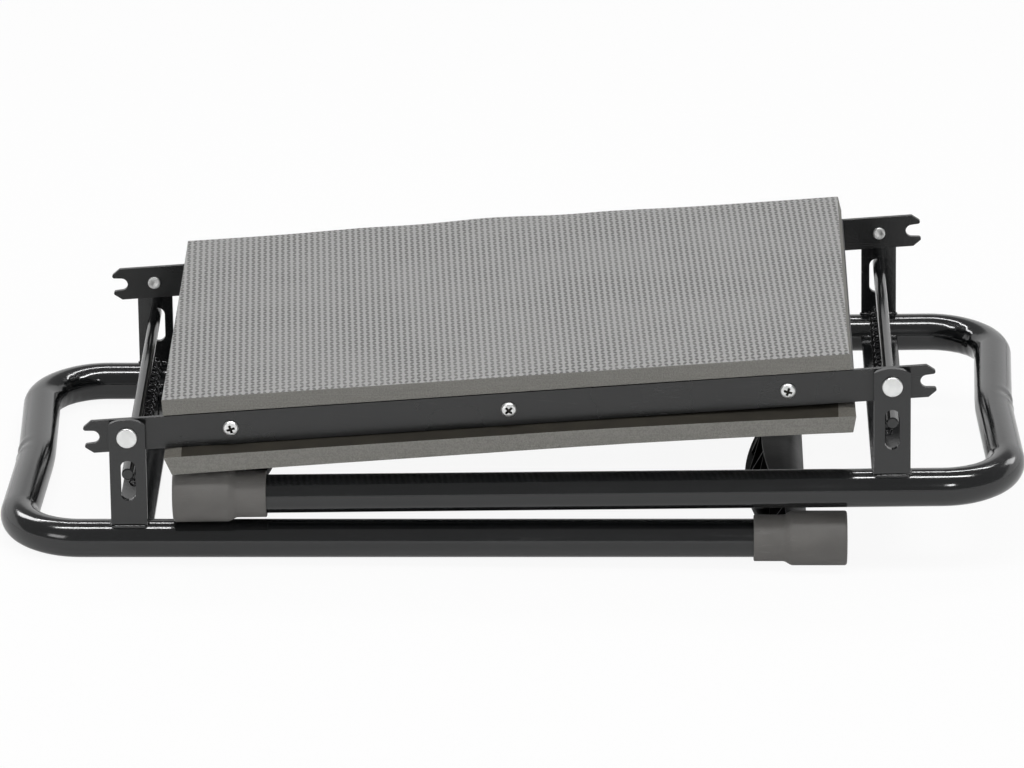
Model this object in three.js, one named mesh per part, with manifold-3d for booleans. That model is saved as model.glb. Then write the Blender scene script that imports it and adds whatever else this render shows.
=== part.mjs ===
// Folding kneeling stool, folded flat on the floor. Millimetres, +Z up, +X along the tubes.
// Two U-shaped leg frames lie one on the other and hinge on a padded seat between flat rails.
import * as THREE from 'three';
import { mergeVertices } from 'three/addons/utils/BufferGeometryUtils.js';
import Module from 'manifold-3d';

const wasm = await Module();
wasm.setup();

// Driving dimensions
const footReach = 409.5;
const footToPivot = 25.7;
const frameSpan = 250;
const pivotRise = 64.3;
const arcReach = 77.5;
const tubeDiameter = 22;
const clearance = 0.3;
const overrun = 2;
const arcSegments = 8;

// Leg tube
const tubeWall = 1.2;
const tubeInset = 5.5;
const arcBendRadius = 38;
const arcDip = 3;
const bendSteps = 7;
const tubeSides = 14;
const dipWidthShare = 0.1;
const tubeCutterSides = 32;

// Flat brackets, their slot and the lock bar
const bracketWidth = 20.8;
const bracketThickness = 3;
const bracketTop = 10.6;
const bracketArcSagitta = 2.6;
const lockBarDiameter = 7;
const lockBarDrop = 22;
const slotTop = 14.4;
const slotBottom = 38.7;
const slotPlay = 0.7;
const lockBarProud = 1.6;
const lockBarChamfer = 0.7;
const lockBarSides = 16;

// Cross plate, lock spring
const crossPlateWidth = 22;
const crossPlateThickness = 3;
const springDiameter = 9;
const springWire = 1.3;
const springOffset = 3.2;
const springCurls = 22;
const springStepsPerCurl = 8;
const springSides = 5;
const springEaseCurls = 0.75;

// Foot cap
const capLength = 53.3;
const capCollarLength = 16.6;
const capFlareLength = 5.7;
const capCollarDiameter = 26.6;
const capDiameter = 31.3;
const capEdge = 2.5;
const capEndWall = 5;
const capSides = 20;
const capCutterSides = 24;

// Moulded hand grip
const gripEndWidth = 21;
const gripMidWidth = 34;
const gripHeight = 30;
const gripEndHeight = 24;
const gripInset = 22.5;
const gripWall = 2.6;
const gripRib = 1.8;
const gripCells = 9;
const gripSteps = 12;

// Seat rails with notched hooks
const railHeight = 19.4;
const railThickness = 2.5;
const hookReach = 24.8;
const hookChamfer = 4.8;
const notchEnd = 16;
const notchPlay = 0.7;
const notchFlare = 0.7;

// Board and pads
const boardInset = 21;
const boardWall = 2.4;
const boardCells = 7;
const padInset = 20.5;
const padThickness = 10.2;
const padOverhang = 10.6;
const padEdge = 1.6;
const padCrown = 0.7;
const padDrawIn = 0.6;
const padStepsLong = 14;
const padStepsWide = 10;
const padStepsThick = 4;
const padEdgePower = 3;
const padCrownPower = 4;

// Rivets, washers and seat screws
const rivetDiameter = 6;
const rivetHeadDiameter = 11.8;
const rivetHeadHeight = 2.2;
const rivetTailDiameter = 7.4;
const rivetTailHeight = 1.3;
const rivetDomeShares = [1, 0.93, 0.7, 0.38];
const rivetSides = 12;
const washerDiameter = 15;
const washerThickness = 0.8;
const washerSides = 20;
const screwSpacing = 158.5;
const screwDiameter = 4.2;
const screwHeadDiameter = 9;
const screwHeadHeight = 2.4;
const screwLength = 11;
const screwCount = 3;
const screwSides = 12;
const screwTipShare = 0.5;
const screwRimShare = 0.4;
const screwCrownShares = [0.78, 0.85];

// Angles in degrees
const seatTiltDeg = 4.115;
const halfTurn = Math.PI;
const quarterTurn = halfTurn / 2;

// Places worked out from the sizes
const pivotSpacing = footReach + footToPivot;
const tubeRadius = tubeDiameter / 2;
const capRadius = capDiameter / 2;
const seatTilt = THREE.MathUtils.degToRad(seatTiltDeg);
const bracketFace = frameSpan / 2;
const bracketInner = bracketFace - bracketThickness;
const washerOuter = bracketInner - clearance;
const railOuter = washerOuter - washerThickness - clearance;
const railInner = railOuter - railThickness;
const tubeAxis = bracketFace - tubeInset;
const arcAxis = arcReach - tubeRadius;
const padOuter = bracketInner;
const capStart = footReach - capLength;
const capWideStart = capStart + capCollarLength + capFlareLength;
const seatRise = pivotSpacing * Math.sin(seatTilt);
const stackGap = capRadius + tubeRadius + clearance;
const upperTilt = Math.asin((seatRise - stackGap) / footReach);
const groundTilt = Math.asin((capRadius - tubeRadius) / (capWideStart + arcAxis));
const springRadius = (springDiameter - springWire) / 2;
const springDrop = lockBarDrop + (lockBarDiameter + springDiameter) / 2 + clearance;

const painted = (color) => new THREE.MeshStandardMaterial({ color, roughness: 0.3, metalness: 0.4 });
const gloss = () => painted(0x1d2023);
const satin = () => painted(0x303235);
const zinc = () => new THREE.MeshStandardMaterial({ color: 0xc9cbcc, roughness: 0.35, metalness: 1 });
const plain = (color, roughness) => new THREE.MeshStandardMaterial({ color, roughness, metalness: 0 });

// Booleans on closed solids
function toSolid(geometry) {
  const bare = geometry.clone();
  bare.deleteAttribute('normal');
  bare.deleteAttribute('uv');
  const merged = mergeVertices(bare);
  const vertProperties = new Float32Array(merged.attributes.position.array);
  const triVerts = new Uint32Array(merged.index.array);
  return new wasm.Manifold(new wasm.Mesh({ numProp: 3, vertProperties, triVerts }));
}

function toGeometry(solid) {
  const { vertProperties, triVerts } = solid.getMesh();
  const geometry = new THREE.BufferGeometry();
  geometry.setAttribute('position', new THREE.BufferAttribute(new Float32Array(vertProperties), 3));
  geometry.setIndex(new THREE.BufferAttribute(new Uint32Array(triVerts), 1));
  return geometry;
}

function cut(geometry, tools) {
  return toGeometry(tools.reduce((solid, tool) => solid.subtract(toSolid(tool)), toSolid(geometry)));
}

function named(name, geometry, material) {
  const mesh = new THREE.Mesh(geometry, material);
  mesh.name = name;
  return mesh;
}

// A flat outline drawn in X and Z, given a thickness in Y from low to high
function plate(shape, low, high) {
  const settings = { depth: high - low, bevelEnabled: false, curveSegments: arcSegments };
  const geometry = new THREE.ExtrudeGeometry(shape, settings);
  return geometry.rotateX(quarterTurn).translate(0, high, 0);
}

function hole(x, z, radius) {
  return new THREE.Path().absarc(x, z, radius, 0, 2 * halfTurn, true);
}

// A turned piece about Y: pairs of radius and place along the axis
function turned(profile, sides) {
  return new THREE.LatheGeometry(profile.map(([r, y]) => new THREE.Vector2(r, y)), sides);
}

// Leg tube: one bent U whose arc dips inwards a little at its middle
class StationCurve extends THREE.Curve {
  constructor(stations) {
    super();
    this.stations = stations;
  }
  getPoint(t, target = new THREE.Vector3()) {
    const last = this.stations.length - 1;
    const place = THREE.MathUtils.clamp(t, 0, 1) * last;
    const index = Math.min(Math.floor(place), last - 1);
    return target.lerpVectors(this.stations[index], this.stations[index + 1], place - index);
  }
  getPointAt(u, target) {
    return this.getPoint(u, target);
  }
  getTangentAt(u, target = new THREE.Vector3()) {
    const last = this.stations.length - 1;
    const index = Math.round(u * last);
    const ahead = this.stations[Math.min(index + 1, last)];
    const behind = this.stations[Math.max(index - 1, 0)];
    return target.subVectors(ahead, behind).normalize();
  }
}

function legTube() {
  const stations = [];
  const reach = footReach - capEndWall - clearance;
  stations.push(new THREE.Vector3(reach, -tubeAxis, 0));
  stations.push(new THREE.Vector3(capStart, -tubeAxis, 0));
  const centreX = arcBendRadius - arcAxis;
  const centreY = tubeAxis - arcBendRadius;
  for (let i = 0; i <= bendSteps; i += 1) {
    const angle = quarterTurn * i / bendSteps;
    stations.push(new THREE.Vector3(
      centreX - arcBendRadius * Math.sin(angle), -centreY - arcBendRadius * Math.cos(angle), 0));
  }
  stations.push(new THREE.Vector3(arcDip - arcAxis, -centreY * dipWidthShare, 0));
  stations.push(new THREE.Vector3(arcDip - arcAxis, centreY * dipWidthShare, 0));
  for (let i = bendSteps; i >= 0; i -= 1) {
    const angle = quarterTurn * i / bendSteps;
    stations.push(new THREE.Vector3(
      centreX - arcBendRadius * Math.sin(angle), centreY + arcBendRadius * Math.cos(angle), 0));
  }
  stations.push(new THREE.Vector3(capStart, tubeAxis, 0));
  stations.push(new THREE.Vector3(reach, tubeAxis, 0));
  const section = new THREE.Shape().absarc(0, 0, tubeRadius, 0, 2 * halfTurn, false);
  section.holes.push(hole(0, 0, tubeRadius - tubeWall));
  const extrudePath = new StationCurve(stations);
  const settings = { steps: stations.length - 1, extrudePath, curveSegments: tubeSides / 2 };
  return new THREE.ExtrudeGeometry(section, settings).translate(0, 0, -pivotRise);
}

// A straight round bar along X on a tube axis, used to cut what sits on the tube
function tubeCutter(side, radius) {
  const length = footReach + arcReach;
  return new THREE.CylinderGeometry(radius, radius, length, tubeCutterSides)
    .rotateZ(quarterTurn).translate(0, side * tubeAxis, -pivotRise);
}

// Upright bracket: slotted flat bar with a domed top, its foot coped over the tube
function bracket(side) {
  const half = bracketWidth / 2;
  const shoulder = bracketTop - bracketArcSagitta;
  const domeRadius = (half * half + bracketArcSagitta * bracketArcSagitta) / (2 * bracketArcSagitta);
  const spread = Math.asin(half / domeRadius);
  const foot = tubeRadius / 2 - pivotRise;
  const outline = new THREE.Shape();
  outline.moveTo(-half, foot);
  outline.lineTo(half, foot);
  outline.lineTo(half, shoulder);
  outline.absarc(0, bracketTop - domeRadius, domeRadius, quarterTurn - spread, quarterTurn + spread, false);
  outline.lineTo(-half, foot);
  const slotRadius = (lockBarDiameter + slotPlay * 2) / 2;
  const slot = new THREE.Path();
  slot.absarc(0, -slotTop - slotRadius, slotRadius, 0, halfTurn, false);
  slot.absarc(0, -slotBottom + slotRadius, slotRadius, halfTurn, 2 * halfTurn, false);
  outline.holes.push(slot, hole(0, 0, rivetDiameter / 2 + clearance));
  const low = side > 0 ? bracketInner : -bracketFace;
  const flat = plate(outline, low, low + bracketThickness);
  return cut(flat, [tubeCutter(side, tubeRadius + clearance)]);
}

function crossPlate() {
  const span = 2 * (tubeAxis - tubeRadius - clearance);
  return new THREE.BoxGeometry(crossPlateWidth, span, crossPlateThickness).translate(0, 0, -pivotRise);
}

// Lock bar across both brackets, resting part way down their slots
function lockBar() {
  const radius = lockBarDiameter / 2;
  const end = bracketFace + lockBarProud;
  const flat = end - lockBarChamfer;
  return turned([[0, -end], [radius - lockBarChamfer, -end], [radius, -flat],
    [radius, flat], [radius - lockBarChamfer, end], [0, end]], lockBarSides).translate(0, 0, -lockBarDrop);
}

// Lock spring: one unbroken wire that winds along the bar and runs straight at both ends
function springPath() {
  const end = bracketInner - clearance;
  const wound = end - springWire;
  const steps = springCurls * springStepsPerCurl;
  const points = [new THREE.Vector3(0, -end, 0)];
  for (let i = 0; i <= steps; i += 1) {
    const curl = i / springStepsPerCurl;
    const ease = Math.min(curl, springCurls - curl) / springEaseCurls;
    const radius = springRadius * THREE.MathUtils.smoothstep(ease, 0, 1);
    const angle = 2 * halfTurn * curl;
    points.push(new THREE.Vector3(
      radius * Math.cos(angle), THREE.MathUtils.lerp(-wound, wound, i / steps), radius * Math.sin(angle)));
  }
  points.push(new THREE.Vector3(0, end, 0));
  return points;
}

function leastSpringGap(points) {
  let least = Infinity;
  for (let i = 0; i < points.length; i += 1) {
    for (let j = i + springStepsPerCurl / 2; j < points.length; j += 1) {
      least = Math.min(least, points[i].distanceTo(points[j]));
    }
  }
  return least - springWire;
}

// A round wire swept along points with a frame carried from ring to ring
function wire(points, radius, sides) {
  const vertices = [];
  const faces = [];
  const side = new THREE.Vector3(0, 0, 1);
  points.forEach((point, i) => {
    const ahead = points[Math.min(i + 1, points.length - 1)];
    const behind = points[Math.max(i - 1, 0)];
    const tangent = new THREE.Vector3().subVectors(ahead, behind).normalize();
    side.addScaledVector(tangent, -side.dot(tangent)).normalize();
    const across = new THREE.Vector3().crossVectors(tangent, side);
    for (let k = 0; k < sides; k += 1) {
      const angle = 2 * halfTurn * k / sides;
      const spot = point.clone().addScaledVector(side, radius * Math.cos(angle));
      spot.addScaledVector(across, radius * Math.sin(angle));
      vertices.push(spot.x, spot.y, spot.z);
    }
  });
  const last = (points.length - 1) * sides;
  for (let i = 0; i < points.length - 1; i += 1) {
    for (let k = 0; k < sides; k += 1) {
      const a = i * sides + k;
      const b = i * sides + (k + 1) % sides;
      faces.push(a, b, b + sides, a, b + sides, a + sides);
    }
  }
  for (let k = 1; k < sides - 1; k += 1) {
    faces.push(0, k + 1, k, last, last + k, last + k + 1);
  }
  const geometry = new THREE.BufferGeometry();
  geometry.setAttribute('position', new THREE.Float32BufferAttribute(vertices, 3));
  geometry.setIndex(faces);
  return geometry;
}

function lockSpring() {
  return wire(springPath(), springWire / 2, springSides).translate(springOffset, 0, -springDrop);
}

// Foot cap: a stepped rubber cup over the tube's end; grow swells it for cutting its neighbours
function capOutline(grow) {
  const collar = capCollarDiameter / 2 + grow;
  const wide = capRadius + grow;
  return [[collar, -grow], [collar, capCollarLength], [wide, capCollarLength + capFlareLength],
    [wide, capLength - capEdge], [wide - capEdge, capLength + grow], [0, capLength + grow]];
}

function placedOnTube(geometry, side) {
  return geometry.rotateZ(-quarterTurn).translate(capStart, side * tubeAxis, -pivotRise);
}

function footCap(side) {
  const bore = tubeRadius + clearance;
  const profile = [[0, capLength - capEndWall], [bore, capLength - capEndWall], [bore, 0], ...capOutline(0)];
  return placedOnTube(turned(profile, capSides), side);
}

// Hand grip: a barrel-shaped moulding between the caps, with a ribbed hollow towards the arc
const gripFace = footReach - gripInset;
const gripLength = 2 * (tubeAxis - tubeRadius);

function gripSwell(y) {
  const share = Math.min(Math.abs(2 * y / gripLength), 1);
  return Math.cos(share * quarterTurn);
}

function gripWidthAt(y) {
  return THREE.MathUtils.lerp(gripEndWidth, gripMidWidth, gripSwell(y));
}

function gripHeightAt(y) {
  return THREE.MathUtils.lerp(gripEndHeight, gripHeight, gripSwell(y));
}

function gripBlank() {
  const round = gripHeight / 2;
  const outline = new THREE.Shape();
  outline.moveTo(-gripMidWidth, -round);
  outline.lineTo(-round, -round);
  outline.absarc(-round, 0, round, -quarterTurn, quarterTurn, false);
  outline.lineTo(-gripMidWidth, round);
  outline.lineTo(-gripMidWidth, -round);
  const settings = { depth: gripLength, steps: gripSteps, bevelEnabled: false, curveSegments: arcSegments };
  const geometry = new THREE.ExtrudeGeometry(outline, settings)
    .rotateX(quarterTurn).translate(0, gripLength / 2, 0);
  const spots = geometry.attributes.position;
  for (let i = 0; i < spots.count; i += 1) {
    const y = spots.getY(i);
    spots.setX(i, spots.getX(i) * gripWidthAt(y) / gripMidWidth);
    spots.setZ(i, spots.getZ(i) * gripHeightAt(y) / gripHeight);
  }
  return geometry;
}

// Leaning ribs: each hollow cell is a triangle, point up and point down in turn
function gripCell(index) {
  const pitch = gripLength / (gripCells + 2);
  const y = (index - (gripCells - 1) / 2) * pitch;
  const half = pitch - gripRib;
  const tall = gripHeightAt(Math.abs(y) + half) / 2 - gripWall;
  const deep = gripWidthAt(Math.abs(y) + half) - gripWall - tall / 2;
  const flip = index % 2 ? -1 : 1;
  const triangle = new THREE.Shape();
  triangle.moveTo(-half, -tall * flip);
  triangle.lineTo(half, -tall * flip);
  triangle.lineTo(0, (tall - gripRib) * flip);
  triangle.lineTo(-half, -tall * flip);
  const settings = { depth: deep + overrun, bevelEnabled: false };
  return new THREE.ExtrudeGeometry(triangle, settings)
    .rotateX(quarterTurn).rotateZ(quarterTurn)
    .translate(-gripMidWidth - overrun, y, 0)
    .translate(gripMidWidth - gripWidthAt(Math.abs(y) + half), 0, 0);
}

function handGrip() {
  const cells = Array.from({ length: gripCells }, (_, index) => gripCell(index));
  const placed = cut(gripBlank(), cells).translate(gripFace, 0, -pivotRise);
  const swollen = [[0, -clearance], ...capOutline(clearance)];
  const saddles = [-1, 1].map((side) => placedOnTube(turned(swollen, capCutterSides), side));
  return cut(placed, saddles);
}

// One leg frame about its own pivot, feet towards +X; front is the side that ends up facing -Y
function legFrame(prefix, frontSide) {
  const frame = new THREE.Group();
  frame.add(named(`${prefix}_leg_tube`, legTube(), gloss()));
  frame.add(named(`${prefix}_cross_plate`, crossPlate(), gloss()));
  frame.add(named(`${prefix}_lock_bar`, lockBar(), gloss()));
  frame.add(named(`${prefix}_lock_spring`, lockSpring(), zinc()));
  frame.add(named(`${prefix}_hand_grip`, handGrip(), plain(0x111213, 0.45)));
  for (const [end, side] of [['front', frontSide], ['rear', -frontSide]]) {
    frame.add(named(`${prefix}_bracket_${end}`, bracket(side), gloss()));
    frame.add(named(`${prefix}_foot_cap_${end}`, footCap(side), plain(0x5e5c5a, 0.75)));
  }
  return frame;
}

// Seat rail: a flat bar on edge with a notched hook beyond each pivot
function hookPoints() {
  const notch = (lockBarDiameter + notchPlay) / 2;
  const half = railHeight / 2;
  return {
    tip: -hookReach, shoulder: hookChamfer - hookReach, half, notch,
    lip: notch + notchFlare, throat: -notchEnd - notch, shoulderHalf: half - hookChamfer,
  };
}

function seatRail(side) {
  const h = hookPoints();
  const far = (x) => pivotSpacing - x;
  const outline = new THREE.Shape();
  outline.moveTo(h.shoulder, -h.half);
  outline.lineTo(far(h.shoulder), -h.half);
  outline.lineTo(far(h.tip), -h.shoulderHalf);
  outline.lineTo(far(h.tip), -h.lip);
  outline.absarc(far(h.throat), 0, h.notch, -quarterTurn, quarterTurn, true);
  outline.lineTo(far(h.tip), h.lip);
  outline.lineTo(far(h.tip), h.shoulderHalf);
  outline.lineTo(far(h.shoulder), h.half);
  outline.lineTo(h.shoulder, h.half);
  outline.lineTo(h.tip, h.shoulderHalf);
  outline.lineTo(h.tip, h.lip);
  outline.absarc(h.throat, 0, h.notch, quarterTurn, -quarterTurn, true);
  outline.lineTo(h.tip, -h.lip);
  outline.lineTo(h.tip, -h.shoulderHalf);
  outline.lineTo(h.shoulder, -h.half);
  const rivetHole = rivetDiameter / 2 + clearance;
  outline.holes.push(hole(0, 0, rivetHole), hole(pivotSpacing, 0, rivetHole));
  for (const x of screwPlaces()) {
    outline.holes.push(hole(x, 0, screwDiameter / 2 + clearance));
  }
  const low = side > 0 ? railInner : -railOuter;
  return plate(outline, low, low + railThickness);
}

function screwPlaces() {
  const middle = (screwCount - 1) / 2;
  return Array.from({ length: screwCount }, (_, i) => pivotSpacing / 2 + (i - middle) * screwSpacing);
}

// Seat board: hollow-section board between the rails, open at both ends
function seatBoard() {
  const wide = 2 * (railInner - clearance);
  const length = pivotSpacing - 2 * boardInset;
  const pitch = (wide - boardWall) / boardCells;
  const cells = Array.from({ length: boardCells }, (_, i) => new THREE.BoxGeometry(
    length + 2 * overrun, pitch - boardWall, railHeight - 2 * boardWall)
    .translate(0, (i - (boardCells - 1) / 2) * pitch, 0));
  const board = cut(new THREE.BoxGeometry(length, wide, railHeight), cells).translate(pivotSpacing / 2, 0, 0);
  const drillRadius = screwDiameter / 2 + clearance;
  const drills = [-1, 1].flatMap((side) => screwPlaces().map((x) => new THREE.CylinderGeometry(
    drillRadius, drillRadius, 2 * screwLength, screwSides).translate(x, side * railInner, 0)));
  return cut(board, drills);
}

// Foam pad: a flat sheet, slightly crowned, with rounded, drawn-in sides
function seatPad(up) {
  const long = pivotSpacing - 2 * padInset;
  const deep = 2 * padOuter + padOverhang;
  const geometry = new THREE.BoxGeometry(long, deep, padThickness, padStepsLong, padStepsWide, padStepsThick);
  const spots = geometry.attributes.position;
  const atEdge = (share) => Math.abs(share) > 1 - 1 / (padStepsLong + padStepsWide);
  for (let i = 0; i < spots.count; i += 1) {
    const [x, y, z] = [spots.getX(i), spots.getY(i), spots.getZ(i)];
    const u = 2 * x / long;
    const v = 2 * y / deep;
    const w = 2 * z / padThickness;
    const inward = padEdge * Math.abs(w) ** padEdgePower + padDrawIn * (1 - w * w);
    const crown = Math.max(w, 0) * padCrown * (1 - u ** padCrownPower) * (1 - v ** padCrownPower);
    spots.setXYZ(i, x - (atEdge(u) ? Math.sign(x) * inward : 0),
      y - (atEdge(v) ? Math.sign(y) * inward : 0), z + crown);
  }
  const lift = railHeight / 2 + clearance + padThickness / 2;
  geometry.translate(pivotSpacing / 2, padOverhang / 2, lift);
  return up > 0 ? geometry : geometry.translate(-pivotSpacing / 2, 0, 0).rotateX(halfTurn)
    .translate(pivotSpacing / 2, 0, 0);
}

// Pivot rivet: domed head outside the bracket, small clenched tail inside the rail
function pivotRivet(side) {
  const head = rivetHeadDiameter / 2;
  const shank = rivetDiameter / 2;
  const tail = rivetTailDiameter / 2;
  const seat = bracketFace + clearance;
  const clench = railInner - clearance;
  const dome = rivetDomeShares.map((share, i) => [head * share,
    seat + rivetHeadHeight * (i + 1) / (rivetDomeShares.length + 1)]);
  return turned([[0, clench - rivetTailHeight], [tail, clench - rivetTailHeight], [tail, clench],
    [shank, clench], [shank, seat], [head, seat], ...dome, [0, seat + rivetHeadHeight]], rivetSides)
    .rotateX(side > 0 ? 0 : halfTurn);
}

function pivotWasher(side) {
  const bore = rivetDiameter / 2 + clearance;
  const rim = washerDiameter / 2;
  const low = washerOuter - washerThickness;
  return turned([[bore, low], [rim, low], [rim, washerOuter], [bore, washerOuter], [bore, low]], washerSides)
    .rotateX(side > 0 ? 0 : halfTurn);
}

// Pan-head screw with its head outside and its tip towards the middle
function panScrew(seat, head, headHeight, shank, length) {
  const tip = seat - length;
  const [crownShare, crownRiseShare] = screwCrownShares;
  return turned([[0, tip], [shank * screwTipShare, tip + shank], [shank, tip + 2 * shank],
    [shank, seat], [head, seat], [head, seat + headHeight * screwRimShare],
    [head * crownShare, seat + headHeight * crownRiseShare], [0, seat + headHeight]], screwSides);
}

function seatScrew(side, x) {
  const seat = railOuter + clearance;
  return panScrew(seat, screwHeadDiameter / 2, screwHeadHeight, screwDiameter / 2, screwLength)
    .rotateX(side > 0 ? 0 : halfTurn).translate(x, 0, 0);
}

function seatGroup() {
  const seat = new THREE.Group();
  seat.add(named('seat_board', seatBoard(), plain(0x2b2b2b, 0.6)));
  seat.add(named('pad_upper', seatPad(1), plain(0x9b9a98, 0.9)));
  seat.add(named('pad_lower', seatPad(-1), plain(0x9b9a98, 0.9)));
  for (const [end, side] of [['front', -1], ['rear', 1]]) {
    seat.add(named(`rail_${end}`, seatRail(side), satin()));
    screwPlaces().forEach((x, i) => {
      seat.add(named(`seat_screw_${end}_${i + 1}`, seatScrew(side, x), zinc()));
    });
    for (const [corner, x] of [['a', 0], ['b', pivotSpacing]]) {
      seat.add(named(`${corner}_pivot_rivet_${end}`, pivotRivet(side).translate(x, 0, 0), zinc()));
      seat.add(named(`${corner}_washer_${end}`, pivotWasher(side).translate(x, 0, 0), plain(0x8d8d8a, 0.5)));
    }
  }
  return seat;
}

// The folded stack: frame A on the floor, the seat above it, frame B turned round between them
const lowerFrame = legFrame('a', -1);
const seat = seatGroup();
seat.rotation.y = -seatTilt;
const upperFrame = legFrame('b', 1);
upperFrame.position.set(pivotSpacing * Math.cos(seatTilt), 0, seatRise);
upperFrame.rotation.set(0, -upperTilt, halfTurn);
upperFrame.rotation.order = 'YXZ';

const stool = new THREE.Group();
stool.add(lowerFrame, seat, upperFrame);
stool.rotation.y = -groundTilt;

const kneelingStool = new THREE.Group();
kneelingStool.add(stool);
kneelingStool.updateMatrixWorld(true);
const box = new THREE.Box3().setFromObject(kneelingStool, true);
stool.position.set(-(box.min.x + box.max.x) / 2, -(box.min.y + box.max.y) / 2, -box.min.z);
kneelingStool.updateMatrixWorld(true);

console.log(`least gap of a lock spring to itself: ${leastSpringGap(springPath()).toFixed(2)} mm`);

export default kneelingStool;
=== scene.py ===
import bmesh
import bpy
import numpy as np
from mathutils import Matrix, Vector
from mathutils.geometry import tessellate_polygon


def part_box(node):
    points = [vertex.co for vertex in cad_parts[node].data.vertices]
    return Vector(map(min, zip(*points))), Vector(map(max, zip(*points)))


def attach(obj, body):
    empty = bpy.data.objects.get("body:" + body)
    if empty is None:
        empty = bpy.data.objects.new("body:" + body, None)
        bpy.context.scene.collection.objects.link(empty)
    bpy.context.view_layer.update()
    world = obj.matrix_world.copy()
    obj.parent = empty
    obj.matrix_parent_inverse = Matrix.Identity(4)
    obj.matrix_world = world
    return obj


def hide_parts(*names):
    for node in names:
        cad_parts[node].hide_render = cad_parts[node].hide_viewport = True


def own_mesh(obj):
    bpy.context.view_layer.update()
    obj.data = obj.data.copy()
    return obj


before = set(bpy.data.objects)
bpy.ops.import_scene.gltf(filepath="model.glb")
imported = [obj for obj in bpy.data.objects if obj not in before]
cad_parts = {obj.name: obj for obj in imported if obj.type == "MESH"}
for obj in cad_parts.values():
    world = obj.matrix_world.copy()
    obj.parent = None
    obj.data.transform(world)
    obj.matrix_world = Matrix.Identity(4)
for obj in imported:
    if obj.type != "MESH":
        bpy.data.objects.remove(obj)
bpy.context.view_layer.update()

# The stool folds about two hinge lines, one at each end of the seat. Every piece is measured
# from its own hinge: x along its legs or rails, y across the stool, z away from the floor.
MM = 0.001


def middle(node):
    """Centre of a node's box, halfway between its lowest and highest corners."""
    low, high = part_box(node)
    return (np.array(low) + np.array(high)) / 2


def leg_directions(hinge, bar, facing):
    """Origin, along, across and up of a leg frame: up runs from the lock bar to the hinge."""
    up = (hinge - bar) / np.linalg.norm(hinge - bar)
    along = np.array([up[2], 0.0, -up[0]]) * facing
    return hinge, along, np.array([0.0, facing, 0.0]), up


def placed(points, where):
    """Points of a hinge's own x, y and z, laid out in the row frame."""
    origin, along, across, up = where
    return origin + points[..., :1] * along + points[..., 1:2] * across + points[..., 2:] * up


across_only = np.array([1.0, 0.0, 1.0])
hinge_a = middle("a_pivot_rivet_front") * across_only
hinge_b = middle("b_pivot_rivet_front") * across_only
on_frame_a = leg_directions(hinge_a, middle("a_lock_bar"), 1.0)
on_frame_b = leg_directions(hinge_b, middle("b_lock_bar"), -1.0)
leg_frames = (("a", on_frame_a, -1.0), ("b", on_frame_b, 1.0))
hinge_spacing = np.linalg.norm(hinge_b - hinge_a)
seat_along = (hinge_b - hinge_a) / hinge_spacing
seat_up = np.array([-seat_along[2], 0.0, seat_along[0]])
on_seat = (hinge_a, seat_along, np.array([0.0, 1.0, 0.0]), seat_up)
seat_sides = (("front", -1.0), ("rear", 1.0))


# Black paint on the welded steel of both leg frames: bright gloss over a faint orange peel,
# with cloudy variation and a few hairline rubs. The stool's other finishes share its grain.
def new_group(name, inputs, outputs):
    """An empty shader group with its named sockets."""
    group = bpy.data.node_groups.new(name, "ShaderNodeTree")
    for label, kind, default in inputs:
        socket = group.interface.new_socket(label, in_out="INPUT", socket_type=kind)
        if default is not None:
            socket.default_value = default
    for label in outputs:
        group.interface.new_socket(label, in_out="OUTPUT", socket_type="NodeSocketFloat")
    return group, group.nodes.new("NodeGroupInput"), group.nodes.new("NodeGroupOutput")


def node(tree, kind, links=None, **settings):
    """A node with its settings, and its inputs joined to sockets or set to values."""
    made_node = tree.nodes.new(kind)
    for label, value in settings.items():
        setattr(made_node, label, value)
    for label, value in (links or {}).items():
        if isinstance(value, bpy.types.NodeSocket):
            tree.links.new(value, made_node.inputs[label])
        else:
            made_node.inputs[label].default_value = value
    return made_node


def maths(tree, operation, first, second=0.5, third=0.5):
    """One Math node's result."""
    return node(tree, "ShaderNodeMath", {0: first, 1: second, 2: third}, operation=operation).outputs[0]


def ranged(tree, value, low, high, to_low=0.0, to_high=1.0):
    """A value carried smoothly from one range to another and held at its ends."""
    sockets = {"Value": value, "From Min": low, "From Max": high, "To Min": to_low, "To Max": to_high}
    return node(tree, "ShaderNodeMapRange", sockets, interpolation_type="SMOOTHSTEP").outputs["Result"]


def blended(tree, share, first, second):
    """A colour between two, each a colour or a socket."""
    first, second = [value if isinstance(value, bpy.types.NodeSocket) else (*value, 1.0)
                     for value in (first, second)]
    return node(tree, "ShaderNodeMix", {0: share, 6: first, 7: second}, data_type="RGBA").outputs[2]


def grain_group():
    """Cloudy variation and fine grain: two noises, one wide and one small."""
    group, given, result = new_group("grain", [
        ("Vector", "NodeSocketVector", None), ("Cloud Scale", "NodeSocketFloat", 18.0),
        ("Grain Scale", "NodeSocketFloat", 900.0)], ["Cloud", "Grain"])
    for label, detail, low, high in (("Cloud", 4.0, 0.3, 0.7), ("Grain", 2.0, 0.25, 0.75)):
        noise = node(group, "ShaderNodeTexNoise", {
            "Vector": given.outputs["Vector"], "Scale": given.outputs[f"{label} Scale"], "Detail": detail})
        group.links.new(ranged(group, noise.outputs["Fac"], low, high), result.inputs[label])
    return group


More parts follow.
